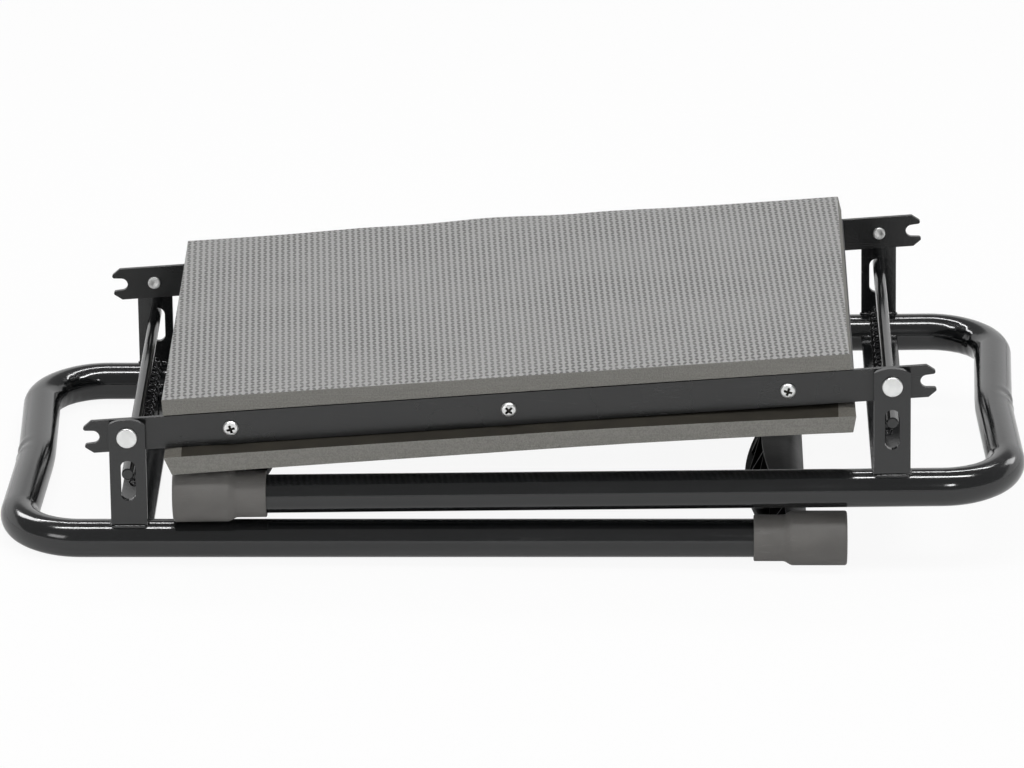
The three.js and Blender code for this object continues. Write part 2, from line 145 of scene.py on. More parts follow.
def rub_group():
    """Hairline rubs: a stretched noise keeps only thin crests, and a wide one keeps some areas."""
    group, given, result = new_group("rubs", [
        ("Vector", "NodeSocketVector", None), ("Scale", "NodeSocketFloat", 60.0),
        ("Amount", "NodeSocketFloat", 0.5)], ["Rub"])
    stretched = node(group, "ShaderNodeMapping", {
        "Vector": given.outputs["Vector"], "Rotation": (0.4, 0.3, 0.7), "Scale": (0.25, 3.0, 3.0)})
    crest = node(group, "ShaderNodeTexNoise", {
        "Vector": stretched.outputs["Vector"], "Scale": given.outputs["Scale"], "Detail": 3.0,
        "Distortion": 0.6})
    area = node(group, "ShaderNodeTexNoise", {"Vector": given.outputs["Vector"], "Scale": 25.0})
    away = maths(group, "ABSOLUTE", maths(group, "SUBTRACT", crest.outputs["Fac"], 0.5))
    thin = ranged(group, away, 0.0, 0.012, 1.0, 0.0)
    some = ranged(group, area.outputs["Fac"], 0.5, 0.62)
    rub = maths(group, "MULTIPLY", maths(group, "MULTIPLY", thin, some), given.outputs["Amount"])
    group.links.new(rub, result.inputs["Rub"])
    return group


grain = grain_group()
rubs = rub_group()


def grained_material(name, cloud_scale, grain_scale, specular):
    """A new material: itself, its tree, its shader, object coordinates, cloud and grain."""
    material = bpy.data.materials.new(name)
    material.use_nodes = True
    tree = material.node_tree
    shader = tree.nodes["Principled BSDF"]
    shader.inputs["Specular IOR Level"].default_value = specular
    place = tree.nodes.new("ShaderNodeTexCoord").outputs["Object"]
    grained = node(tree, "ShaderNodeGroup", {
        "Vector": place, "Cloud Scale": cloud_scale, "Grain Scale": grain_scale}, node_tree=grain)
    return material, tree, shader, place, grained.outputs["Cloud"], grained.outputs["Grain"]


def bumped(tree, shader, height, depth_mm, strength):
    """A height joined to the shader as a bump of a given depth."""
    bump = node(tree, "ShaderNodeBump", {"Height": height, "Distance": depth_mm * MM, "Strength": strength})
    tree.links.new(bump.outputs["Normal"], shader.inputs["Normal"])


def finish(name, colour, second_colour, roughness, peel_mm, cloud_scale, grain_scale, rub=0.5,
           rub_colour=(0.1, 0.1, 0.1), metallic=0.0, specular=0.5):
    """A finish: two near colours in clouds, grain as bump, and rubs that are paler and duller."""
    rub_dulling = 0.25
    material, tree, shader, place, cloud, small = grained_material(name, cloud_scale, grain_scale, specular)
    shader.inputs["Metallic"].default_value = metallic
    rubbed = node(tree, "ShaderNodeGroup", {"Vector": place, "Amount": rub}, node_tree=rubs).outputs["Rub"]
    clouded = blended(tree, cloud, colour, second_colour)
    tree.links.new(blended(tree, rubbed, clouded, rub_colour), shader.inputs["Base Color"])
    dulled = maths(tree, "ADD", ranged(tree, cloud, 0.0, 1.0, *roughness),
                   maths(tree, "MULTIPLY", rubbed, rub_dulling))
    tree.links.new(dulled, shader.inputs["Roughness"])
    bumped(tree, shader, maths(tree, "SUBTRACT", small, rubbed), peel_mm, 1.0)
    return material


gloss_paint = finish("black_gloss_paint", (0.0046, 0.0052, 0.0056), (0.0062, 0.0068, 0.0074),
                     (0.09, 0.15), 0.012, 16.0, 420.0, rub=0.22, rub_colour=(0.05, 0.05, 0.05),
                     specular=0.74)

# Leg tube of each frame: one length of round steel tube bent twice into a U. Its closed end is
# kinked inwards at the middle, and both the kink and the bends show small wrinkles.
tube_radius = 11.0 * MM
tube_axis = 119.5 * MM
tube_drop = 64.3 * MM
leg_end = 404.2 * MM
arc_axis = 66.5 * MM
bend_radius = 38.0 * MM
arc_dip = 3.0 * MM
kink_softness = 9.0 * MM
kink_pinch = 0.9 * MM
kink_run = 3.2 * MM
lip_height = 0.45 * MM
lip_place = 7.0 * MM
lip_run = 3.0 * MM
ripple_height = 0.2 * MM
ripple_pitch = 8.5 * MM
ripple_run = 13.0 * MM
bend_flattening = 0.25 * MM
tube_sides = 40
straight_steps = 60
bend_steps = 28


def ring_faces(rings, sides):
    """Quads between each ring of points and the next, each ring closed on itself."""
    step = np.arange(rings - 1)[:, None] * sides
    here = np.arange(sides)[None, :]
    after = (here + 1) % sides
    return np.stack([step + here, step + after, step + sides + after, step + sides + here], -1).reshape(-1, 4)


def skin(rings, closed_ends=True):
    """Points and faces of a surface given as rings of points; the end rings are filled flat."""
    count, sides = rings.shape[:2]
    faces = ring_faces(count, sides).tolist()
    if closed_ends:
        faces += [list(range(sides)), [(count - 1) * sides + k for k in range(sides)]]
    return rings.reshape(-1, 3), faces


def in_scene(name, data):
    """A new object of a mesh, a lamp or a camera, put in the scene."""
    thing = bpy.data.objects.new(name, data)
    bpy.context.scene.collection.objects.link(thing)
    return thing


def cleaned(mesh, merged_within=None, outwards=True):
    """A mesh with its doubled points merged and its normals turned outwards, where asked."""
    work = bmesh.new()
    work.from_mesh(mesh)
    if merged_within:
        bmesh.ops.remove_doubles(work, verts=work.verts, dist=merged_within)
    if outwards:
        bmesh.ops.recalc_face_normals(work, faces=work.faces)
    work.to_mesh(mesh)
    work.free()


def carried(name, mesh, material, body, stands_for, sharp_deg):
    """A mesh with its finish, smooth but for its sharp edges, as a piece carried by a body."""
    mesh.shade_smooth()
    mesh.set_sharp_from_angle(angle=np.radians(sharp_deg))
    mesh.materials.clear()
    mesh.materials.append(material)
    piece = in_scene(name, mesh)
    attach(piece, body)
    if stands_for:
        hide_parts(*stands_for)
    return piece


def made(name, points, faces, material, body, stands_for=(), sharp_deg=38.0):
    """A new piece from points and faces, its normals outwards, carried by a body."""
    mesh = bpy.data.meshes.new(name)
    mesh.from_pydata(points.tolist(), [], [list(face) for face in faces])
    cleaned(mesh, 0.001 * MM)
    return carried(name, mesh, material, body, stands_for, sharp_deg)


def leg_centreline():
    """Leg, quarter bend, kinked arc, quarter bend and leg, as points in the tube's own plane."""
    bend_x = bend_radius - arc_axis
    bend_y = tube_axis - bend_radius
    leg_x = np.linspace(leg_end, bend_x, straight_steps)[:-1]
    leg = np.stack([leg_x, np.full_like(leg_x, -tube_axis)], -1)
    turn = np.linspace(0.0, np.pi / 2, bend_steps)[:-1]
    bend = np.stack([bend_x - bend_radius * np.sin(turn), -bend_y - bend_radius * np.cos(turn)], -1)
    arc_y = np.linspace(-bend_y, 0.0, straight_steps)
    soft = np.sqrt(arc_y ** 2 + kink_softness ** 2) - kink_softness
    arc = np.stack([-arc_axis + arc_dip * (1 - soft / soft[0]), arc_y], -1)
    half = np.concatenate([leg, bend, arc])
    flat = np.concatenate([half, half[-2::-1] * [1.0, -1.0]])
    return np.concatenate([flat, np.full((len(flat), 1), -tube_drop)], -1)


def hump(distance, run):
    """A smooth hump: one at its middle, fading over a run to both sides."""
    return np.exp(-(distance / run) ** 2)


def tube_wrinkles(path, angle):
    """Change of radius: a pinch on the outside of the kink, ripples on the inside of each bend."""
    run = np.concatenate([[0.0], np.cumsum(np.linalg.norm(np.diff(path, axis=0), axis=1))])
    from_kink = (run - run[-1] / 2)[:, None]
    outside = np.clip(np.cos(angle), 0.0, 1.0) ** 2
    inside = np.clip(-np.cos(angle), 0.0, 1.0) ** 2
    pinch = kink_pinch * hump(from_kink, kink_run)
    lips = lip_height * hump(np.abs(from_kink) - lip_place, lip_run)
    from_bend = np.abs(from_kink) - (tube_axis - bend_radius) - bend_radius * np.pi / 4
    near_bend = hump(from_bend, ripple_run)
    ripples = ripple_height * near_bend * np.sin(2 * np.pi * from_bend / ripple_pitch)
    flattened = bend_flattening * near_bend * np.abs(np.sin(angle)) ** 4
    return (lips - pinch) * outside + ripples * inside - flattened


def tube_rings(path):
    """Rings round a path in a level plane: radius times cosine outwards plus sine upwards."""
    ahead = np.gradient(path, axis=0)
    ahead /= np.linalg.norm(ahead, axis=1, keepdims=True)
    up = np.array([0.0, 0.0, 1.0])
    outward = np.cross(up, ahead)
    angle = np.linspace(0.0, 2 * np.pi, tube_sides, endpoint=False)[None, :]
    size = tube_radius + tube_wrinkles(path, angle)
    return path[:, None, :] + (size * np.cos(angle))[..., None] * outward[:, None, :] + (
        size * np.sin(angle))[..., None] * up


tube_points, tube_faces = skin(tube_rings(leg_centreline()))
for tag, where, front in leg_frames:
    made(f"{tag}_bent_tube", placed(tube_points, where), tube_faces, gloss_paint, f"leg_frame_{tag}",
         [f"{tag}_leg_tube"])

# Slotted brackets: flat bar with a domed top, one welded on each leg. The rivet hole is at the
# hinge and the slot below it guides the lock bar. Their cut edges are lightly rounded.
bracket_width = 20.8 * MM
bracket_outer = 125.0 * MM
bracket_thickness = 3.0 * MM
bracket_edge = 0.45 * MM
bracket_tops = {"front": 10.6 * MM, "rear": 7.9 * MM}
slot_tops = {"front": 14.4 * MM, "rear": 18.1 * MM}
slot_bottoms = {"front": 38.7 * MM, "rear": 39.6 * MM}
slot_middles = {"front": 0.0, "rear": 1.3 * MM}
dome_rise = 2.6 * MM
slot_radius = 4.2 * MM
rivet_hole = 3.3 * MM
rivet_hole_sides = 32
weld_line = 54.2 * MM


def arc_points(x, z, radius, start, stop, count=22):
    """Points on a circle about (x, z) from one angle to another, both in quarter turns."""
    angle = np.linspace(start, stop, count) * np.pi / 2
    return np.stack([x + radius * np.cos(angle), z + radius * np.sin(angle)], -1)


def round_hole(x, radius, sides):
    """A round hole on the line through the hinge."""
    return arc_points(x, 0.0, radius, 0, 4, sides + 1)[:-1]


def plate_shell(outline, holes, low, high):
    """A flat plate: its outline and holes in x and z, filled on both faces, walled between."""
    loops = [outline] + list(holes)
    flat = np.concatenate(loops)
    count = len(flat)
    filled = tessellate_polygon([[Vector((x, z, 0.0)) for x, z in loop] for loop in loops])
    near, far = [np.stack([flat[:, 0], np.full(count, y), flat[:, 1]], -1) for y in (low, high)]
    faces = [list(face) for face in filled] + [[k + count for k in face[::-1]] for face in filled]
    first = 0
    for loop in loops:
        here = np.arange(len(loop)) + first
        after = np.roll(here, -1)
        faces += np.stack([here, after, after + count, here + count], -1).tolist()
        first += len(loop)
    return np.concatenate([near, far]), faces


def rounded_edges(piece, width, segments=2):
    """Flat faces merged to whole ones, then a narrow bevel that keeps the flats flat."""
    work = bmesh.new()
    work.from_mesh(piece.data)
    bmesh.ops.dissolve_limit(work, angle_limit=0.002, verts=work.verts, edges=work.edges)
    work.to_mesh(piece.data)
    work.free()
    bevel = piece.modifiers.new("rounded edges", "BEVEL")
    bevel.width = width
    bevel.segments = segments
    bevel.limit_method = "ANGLE"
    bevel.angle_limit = np.radians(40.0)
    bevel.use_clamp_overlap = True
    level = piece.modifiers.new("level flats", "WEIGHTED_NORMAL")
    level.keep_sharp = False


def bracket_outline(top_edge):
    """Straight sides and a dome whose radius follows from its width and rise."""
    half = bracket_width / 2
    dome = (half ** 2 + dome_rise ** 2) / (2 * dome_rise)
    spread = np.arcsin(half / dome) / (np.pi / 2)
    top = arc_points(0.0, top_edge - dome, dome, 1 - spread, 1 + spread)
    return np.concatenate([[[-half, -weld_line], [half, -weld_line]], top])


def slot_outline(centre, top, bottom):
    """A slot: half a circle at each end."""
    return np.concatenate([arc_points(centre, -top - slot_radius, slot_radius, 0, 2),
                           arc_points(centre, -bottom + slot_radius, slot_radius, 2, 4)])


for tag, where, front in leg_frames:
    for end, side in (("front", front), ("rear", -front)):
        low = bracket_outer - bracket_thickness if side > 0 else -bracket_outer
        holes = [slot_outline(slot_middles[end], slot_tops[end], slot_bottoms[end]),
                 round_hole(0.0, rivet_hole, rivet_hole_sides)]
        points, faces = plate_shell(bracket_outline(bracket_tops[end]), holes, low, low + bracket_thickness)
        bracket = made(f"{tag}_slotted_bracket_{end}", placed(points, where), faces, gloss_paint,
                       f"leg_frame_{tag}", [f"{tag}_bracket_{end}"])
        rounded_edges(bracket, bracket_edge)

# Cross plate: a flat bar between the legs under the brackets, welded at both ends. The beads of
# weld round each bracket's foot and along the plate's ends were painted with the frame.
cross_width = 21.4 * MM
cross_shift = {"a": 1.1 * MM, "b": 0.0}
cross_thickness = 3.0 * MM
cross_end = 108.2 * MM
cross_edge = 0.5 * MM
bead_radius = 1.2 * MM
side_bead_radius = 0.7 * bead_radius
plate_bead_radius = 0.8 * bead_radius
bead_pitch = 2.3 * MM
bead_lump_share = 0.16
bead_past_outer = 0.5 * MM
bead_past_inner = 0.7 * MM
bead_rise = 0.3 * MM
side_bead_rise = 0.5 * MM
plate_bead_gap = 0.2 * MM
bead_steps = 30
bead_sides = 12


def bead(start, stop, radius):
    """A weld bead: a straight run of rings, lumpy along its length and rounded off at its ends."""
    start, stop = np.array(start), np.array(stop)
    length = np.linalg.norm(stop - start)
    share = np.linspace(0.0, 1.0, bead_steps)
    first_lump = 9 * start[0] / MM
    lumps = 1 + bead_lump_share * np.sin(2 * np.pi * length * share / bead_pitch + first_lump)
    size = radius * lumps * np.sqrt(np.clip(1 - np.abs(2 * share - 1) ** 6, 0.02, 1.0))
    ahead = (stop - start) / length
    beside = np.cross(ahead, [0.0, 0.0, 1.0])
    beside /= np.linalg.norm(beside)
    lift = np.cross(beside, ahead)
    angle = np.linspace(0.0, 2 * np.pi, bead_sides, endpoint=False)[None, :, None]
    spread = size[:, None, None] * (np.cos(angle) * beside + np.sin(angle) * lift)
    return skin((start + (stop - start) * share[:, None])[:, None, :] + spread)


def joined(shells):
    """Several shells as one list of points and one of faces."""
    points = []
    faces = []
    first = 0
    for shell_points, shell_faces in shells:
        points.append(shell_points)
        faces += [[first + k for k in face] for face in shell_faces]
        first += len(shell_points)
    return np.concatenate(points), faces


def on_tube(y, raised):
    """Height of a leg tube's upper surface, or a little more, at a place across the stool."""
    return -tube_drop + raised + np.sqrt(tube_radius ** 2 - (abs(y) - tube_axis) ** 2)


def end_beads(side):
    """The beads on one leg: four round its bracket's foot and two along the cross plate's end."""
    wide = bracket_width / 2
    outer = side * (bracket_outer + bead_past_outer)
    inner = side * (bracket_outer - bracket_thickness - bead_past_inner)
    beads = [bead([-wide, y, on_tube(y, bead_rise)], [wide, y, on_tube(y, bead_rise)], bead_radius)
             for y in (outer, inner)]
    beads += [bead([x, outer, on_tube(outer, side_bead_rise)], [x, inner, on_tube(inner, side_bead_rise)],
                   side_bead_radius) for x in (-wide, wide)]
    half = cross_width / 2
    y = side * (tube_axis - tube_radius - plate_bead_gap)
    for z in (-tube_drop - cross_thickness / 2, -tube_drop + cross_thickness / 2):
        beads.append(bead([-half, y, z], [half, y, z], plate_bead_radius))
    return beads


corner_signs = np.array([[-1.0, -1.0], [1.0, -1.0], [1.0, 1.0], [-1.0, 1.0]])
for tag, where, front in leg_frames:
    outline = corner_signs * [cross_width / 2, cross_thickness / 2] + [cross_shift[tag], -tube_drop]
    points, faces = plate_shell(outline, [], -cross_end, cross_end)
    cross = made(f"{tag}_cross_bar", placed(points, where), faces, gloss_paint,
                 f"leg_frame_{tag}", [f"{tag}_cross_plate"])
    rounded_edges(cross, cross_edge)
    points, faces = joined(end_beads(-1.0) + end_beads(1.0))
    made(f"{tag}_weld_beads", placed(points, where), faces, gloss_paint, f"leg_frame_{tag}")

# Lock bar: a painted round steel rod through both slots of a frame, its ends chamfered. It
# slides along the slots when the seat's hooks ride over it.
bar_radius = 3.5 * MM
bar_drop = 22.0 * MM
bar_end = 126.6 * MM
bar_chamfer = 0.7 * MM
bar_sides = 32
on_axis = 0.002 * MM


def turned(profile, sides, about=(0.0, 0.0), closed_ends=True):
    """A turned piece about y: rings of the profile's radii at its places along the axis."""
    profile = np.asarray(profile)
    angle = np.linspace(0.0, 2 * np.pi, sides, endpoint=False)[None, :]
    radius = np.maximum(profile[:, :1], on_axis)
    x = about[0] + radius * np.cos(angle)
    z = about[1] + radius * np.sin(angle)
    return skin(np.stack([x, np.repeat(profile[:, 1:], sides, 1), z], -1), closed_ends)


bar_profile = [[0.0, -bar_end], [bar_radius - bar_chamfer, -bar_end], [bar_radius, -bar_end + bar_chamfer],
               [bar_radius, bar_end - bar_chamfer], [bar_radius - bar_chamfer, bar_end], [0.0, bar_end]]
for tag, where, front in leg_frames:
    points, faces = turned(bar_profile, bar_sides, (0.0, -bar_drop))
    made(f"{tag}_lock_rod", placed(points, where), faces, gloss_paint, f"lock_bar_{tag}",
         [f"{tag}_lock_bar"])

# Lock spring: one dark oiled steel wire coiled along its lock bar from the front bracket, its
# rear leg turned down to the cross plate.
spring_wire = finish("spring_wire", (0.022, 0.022, 0.023), (0.05, 0.05, 0.052), (0.12, 0.2), 0.004,
                     70.0, 1500.0, rub=0.4, rub_colour=(0.4, 0.4, 0.4), metallic=1.0)
coil_radius = 3.85 * MM
wire_radius = 0.65 * MM
coil_x = 3.2 * MM
coil_drop = 30.3 * MM
coil_front = 121.7 * MM
coil_rear = 72.0 * MM
coil_curls = 22
coil_steps = 18
coil_sides = 8
closing_curls = 0.75
spring_leg_run = 9.0 * MM
spring_leg_steps = 9
plate_drop = 62.0 * MM


def coil_rings():
    """Rings along a helix about y, closed in at both ends, and on down a leg to the cross plate."""
    curl = np.linspace(0.0, coil_curls, coil_curls * coil_steps + 1)
    ease = np.clip(np.minimum(curl, coil_curls - curl) / closing_curls, 0.0, 1.0)
    radius = coil_radius * ease * ease * (3 - 2 * ease)
    angle = 2 * np.pi * curl
    along = (2 * wire_radius - coil_front) + curl / coil_curls * (coil_front + coil_rear - 2 * wire_radius)
    path = np.stack([radius * np.cos(angle), along, radius * np.sin(angle)], -1)
    fall = np.linspace(0.0, 1.0, spring_leg_steps)[1:, None]
    leg = path[-1] + [0.0, spring_leg_run, coil_drop - plate_drop] * np.concatenate(
        [fall, fall ** 0.5, fall ** 2], 1)
    path = np.concatenate([[[0.0, -coil_front, 0.0]], path, leg])
    ahead = np.gradient(path, axis=0)
    ahead /= np.linalg.norm(ahead, axis=1, keepdims=True)
    turn = np.concatenate([angle[:1], angle, np.repeat(angle[-1:], len(leg))])
    outward = np.stack([np.cos(turn), np.zeros_like(turn), np.sin(turn)], -1)
    outward -= np.sum(outward * ahead, 1, keepdims=True) * ahead
    outward /= np.linalg.norm(outward, axis=1, keepdims=True)
    beside = np.cross(ahead, outward)
    around = np.linspace(0.0, 2 * np.pi, coil_sides, endpoint=False)[None, :, None]
    wire = wire_radius * (np.cos(around) * outward[:, None] + np.sin(around) * beside[:, None])
    return path[:, None, :] + wire + np.array([coil_x, 0.0, -coil_drop])


for tag, where, front in leg_frames:
    points, faces = skin(coil_rings() * np.array([1.0, -front, 1.0]))
    spring = made(f"{tag}_coil_spring", placed(points, where), faces, spring_wire, f"leg_frame_{tag}",
                  [f"{tag}_lock_spring"])
    origin, along, across, up = where
    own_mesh(spring)

# Foot caps: thick grey rubber cups pushed over the tube's ends, a narrow collar, a short flare
# and a wide foot that the frame stands on when it is unfolded.
cap_rubber = finish("grey_rubber", (0.118, 0.114, 0.108), (0.145, 0.14, 0.133), (0.55, 0.72), 0.05,
                    45.0, 700.0, rub=0.5, rub_colour=(0.2, 0.195, 0.19), specular=0.35)
cap_start = 356.2 * MM
cap_end = 409.5 * MM
collar_radius = 13.3 * MM
foot_radius = 15.65 * MM
collar_end = 372.8 * MM
flare_end = 378.5 * MM
cap_bore = 11.3 * MM
cap_floor = 404.5 * MM
cap_lip = 0.7 * MM
cap_edge = 1.5 * MM
tread_radius = 11.6 * MM
tread_half_width = 1.0 * MM
tread_depth = 0.6 * MM
cap_sides = 72


def cap_profile():
    """Bore, lip, collar, an S-shaped flare, the foot and its rounded end, as radius and place."""
    share = np.linspace(0.0, 1.0, 9)
    ease = share * share * (3 - 2 * share)
    flare = np.stack([collar_radius + (foot_radius - collar_radius) * ease,
                      collar_end + (flare_end - collar_end) * share], -1)
    lip_arc = arc_points(collar_radius - cap_lip, cap_start + cap_lip, cap_lip, -1, 0, 6)
    end_arc = arc_points(foot_radius - cap_edge, cap_end - cap_edge, cap_edge, 0, 1, 8)
    tread_floor = cap_end - tread_depth
    tread = [[tread_radius + tread_half_width, cap_end], [tread_radius + tread_depth, tread_floor],
             [tread_radius - tread_depth, tread_floor], [tread_radius - tread_half_width, cap_end],
             [0.0, cap_end]]
    return np.concatenate([[[0.0, cap_floor], [cap_bore, cap_floor], [cap_bore, cap_start]],
                           lip_arc, flare, end_arc, tread])


def along_leg(points, side):
    """A piece turned about y, laid along x on one leg's axis."""
    return np.stack([points[:, 1], side * tube_axis + points[:, 0], points[:, 2] - tube_drop], -1)


cap_points, cap_faces = turned(cap_profile(), cap_sides)
for tag, where, front in leg_frames:
    for end, side in (("front", front), ("rear", -front)):
        made(f"{tag}_foot_cup_{end}", placed(along_leg(cap_points, side), where), cap_faces, cap_rubber,
             f"leg_frame_{tag}", [f"{tag}_foot_cap_{end}"], 50.0)

# Hand grip: a barrel-shaped moulding between the two feet of a frame, rounded towards the feet
# and hollow towards the arc, where leaning ribs stiffen it. It is half-matt black plastic.
grip_plastic = finish("black_plastic", (0.006, 0.006, 0.0062), (0.01, 0.01, 0.0103), (0.34, 0.46), 0.03,
                      30.0, 800.0, rub=0.4, rub_colour=(0.05, 0.05, 0.05), specular=0.16)
grip_face = 387.0 * MM
grip_end_width = 13.0 * MM
grip_mid_width = 34.0 * MM
grip_end_height = 24.0 * MM
grip_mid_height = 30.0 * MM
grip_wall = 2.6 * MM
grip_half = 108.5 * MM
grip_steps = 72
flank_steps = 8
nose_steps = 25
least_flank = 0.2 * MM
mouth_slant_share = 0.28
cap_clearance = 0.3 * MM
rib_count = 10
rib_thickness = 1.5 * MM
rib_set_back = 1.2 * MM
rib_depth_gap = 1.5 * MM
rib_curve_share = 0.16
rib_bite_share = 0.6
last_rib_share = 0.86
end_wall_share = 0.97
end_wall_lean_share = 0.9999


def grip_sizes(share):
    """Width and height at a place along the grip: a cosine barrel between its two ends."""
    swell = np.cos(np.abs(share) * np.pi / 2)
    return (grip_end_width + (grip_mid_width - grip_end_width) * swell,
            grip_end_height + (grip_mid_height - grip_end_height) * swell)


def grip_section(width, height, inset):
    """An open D: a flat flank, a half circle towards the feet and a shorter flank above."""
    round_radius = height / 2 - inset
    flank = -width + height / 2
    short_flank = min(flank + mouth_slant_share * width, -least_flank)
    lower = np.stack([np.linspace(flank, 0.0, flank_steps + 1)[:-1], np.full(flank_steps, -round_radius)], -1)
    nose = arc_points(0.0, 0.0, round_radius, -1, 1, nose_steps)
    upper = np.stack([np.linspace(0.0, short_flank, flank_steps + 1)[1:],
                      np.full(flank_steps, round_radius)], -1)
    return np.concatenate([lower, nose, upper]) - [height / 2, 0.0]


def rise(value, low, high):
    """Nought below low, one above high and straight between."""
    return np.clip((value - low) / (high - low), 0.0, 1.0)


def to_cap(points):
    """Draws the ends of the grip in until they clear the round foot caps they lie against."""
    share = rise(points[..., 0], collar_end, flare_end)
    radius = collar_radius + (foot_radius - collar_radius) * share + cap_clearance
    room = tube_axis - np.sqrt(np.maximum(radius ** 2 - (points[..., 2] + tube_drop) ** 2, 0.0))
    drawn = points.copy()
    drawn[..., 1] = points[..., 1] / grip_half * room
    return drawn


def grip_shell():
    """Outer and inner D sections joined at the mouth, ringed along the grip, ends filled."""
    rings = []
    for share in np.linspace(-1.0, 1.0, grip_steps):
        width, height = grip_sizes(share)
        section = np.concatenate([grip_section(width, height, 0.0),
                                  grip_section(width, height, grip_wall)[::-1]])
        y = np.full(len(section), share * grip_half)
        rings.append(np.stack([grip_face + section[:, 0], y, section[:, 1] - tube_drop], -1))
    return skin(to_cap(np.array(rings)))


def grip_rib(start, stop):
    """A thin wall across the hollow, from the lower flank at start to the upper at stop."""
    corners = []
    for share, top in ((start, 0.0), (stop, 1.0)):
        width, height = grip_sizes(share)
        z = (height / 2 - grip_wall * rib_bite_share) * (2 * top - 1) - tube_drop
        at_mouth = rib_set_back - width * (1 - mouth_slant_share * top)
        at_depth = -grip_wall - rib_depth_gap - height * rib_curve_share
        corners += [[grip_face + x, share * grip_half, z] for x in (at_mouth, at_depth)]
    low_open, low_deep, high_open, high_deep = np.array(corners)
    thick = np.array([0.0, rib_thickness / 2, 0.0])
    square = np.array([low_open, low_deep, high_deep, high_open])
    return np.concatenate([square - thick, square + thick]), [
        [0, 1, 2, 3], [7, 6, 5, 4], [0, 4, 5, 1], [1, 5, 6, 2], [2, 6, 7, 3], [3, 7, 4, 0]]


rib_shares = np.linspace(-last_rib_share, last_rib_share, rib_count + 1)
for tag, where, front in leg_frames:
    points, faces = grip_shell()
    made(f"{tag}_grip_shell", placed(points, where), faces, grip_plastic, f"leg_frame_{tag}",
         [f"{tag}_hand_grip"], 55.0)
    ribs = []
    for index in range(rib_count):
        pair = rib_shares[index:index + 2]
        ribs.append(grip_rib(*(pair if index % 2 else pair[::-1])))
    ribs += [grip_rib(share, share * end_wall_lean_share) for share in (-end_wall_share, end_wall_share)]
    points, faces = joined(ribs)
    made(f"{tag}_grip_ribs", placed(points, where), faces, grip_plastic, f"leg_frame_{tag}")

# Seat rails: two flat bars on edge, one along each side of the seat, with a notched hook beyond
# each hinge that the lock bar drops into. They are painted in a satin dark grey.
satin_paint = finish("grey_satin_paint", (0.0095, 0.01, 0.0102), (0.0125, 0.013, 0.0132), (0.22, 0.32),
                     0.02, 14.0, 650.0, rub=0.25, rub_colour=(0.06, 0.06, 0.06), specular=0.66)
rail_height = 19.4 * MM
rail_outer = 120.6 * MM
rail_thickness = 2.5 * MM
rail_edge = 0.4 * MM
hook_reach = 24.8 * MM
hook_chamfer = 4.8 * MM
notch_radius = 3.85 * MM
notch_end = 16.0 * MM
nose_radius = 1.3 * MM
nose_centre = 5.45 * MM
nose_from = -1.5
nose_to = -2.9
screw_hole = 2.4 * MM
screw_hole_sides = 24
screw_spacing = 158.5 * MM
screw_places = hinge_spacing / 2 + screw_spacing * np.array([-1.0, 0.0, 1.0])


def hook_points():
    """The hook at the left end: lower shoulder, tip, notch, tip and upper shoulder."""
    notch = arc_points(-notch_end - notch_radius, 0.0, notch_radius, -1, 1, 20)
    nose = arc_points(-hook_reach + nose_radius, -nose_centre, nose_radius, nose_from, nose_to, 12)
    lower = np.concatenate([[[-hook_reach + hook_chamfer, -rail_height / 2]], nose])
    return np.concatenate([lower, notch, lower[::-1] * [1.0, -1.0]])


left_hook = hook_points()
right_hook = left_hook * [-1.0, 1.0] + [hinge_spacing, 0.0]
rail_outline = np.concatenate([left_hook[::-1], right_hook])
rail_holes = [round_hole(x, rivet_hole, rivet_hole_sides) for x in (0.0, hinge_spacing)]
rail_holes += [round_hole(x, screw_hole, screw_hole_sides) for x in screw_places]
for end, side in seat_sides:
    low = -rail_outer if side < 0 else rail_outer - rail_thickness
    points, faces = plate_shell(rail_outline, rail_holes, low, low + rail_thickness)
    rail = made(f"hooked_rail_{end}", placed(points, on_seat), faces, satin_paint, "seat",
                [f"rail_{end}"])
    rounded_edges(rail, rail_edge)

# Rivets: bright zinc-plated hinge pins, a flat domed head outside each bracket and a clenched
# tail inside each rail, with a nylon washer between bracket and rail.
zinc = finish("zinc_steel", (0.81, 0.815, 0.805), (0.9, 0.905, 0.895), (0.34, 0.44), 0.008, 160.0,
              1400.0, rub=0.6, rub_colour=(0.5, 0.5, 0.5), metallic=1.0)
nylon = finish("nylon", (0.44, 0.44, 0.42), (0.5, 0.5, 0.48), (0.4, 0.5), 0.02, 60.0, 900.0,
               rub=0.2, rub_colour=(0.3, 0.3, 0.3))
head_seat = 125.3 * MM
head_top = 127.5 * MM
head_fall = 0.45 * MM
head_edge = 0.9 * MM
clench = 117.8 * MM
tail_end = 116.5 * MM
tail_edge = 0.5 * MM
dimple_radius = 1.6 * MM
dimple_floor_radius = 0.9 * MM
dimple_depth = 0.35 * MM
shank_radius = 3.0 * MM
head_radius = 5.9 * MM
tail_radius = 3.7 * MM
washer_radius = 7.5 * MM
washer_low = 120.9 * MM
washer_high = 121.7 * MM
washer_edge = 0.2 * MM
rivet_sides = 48

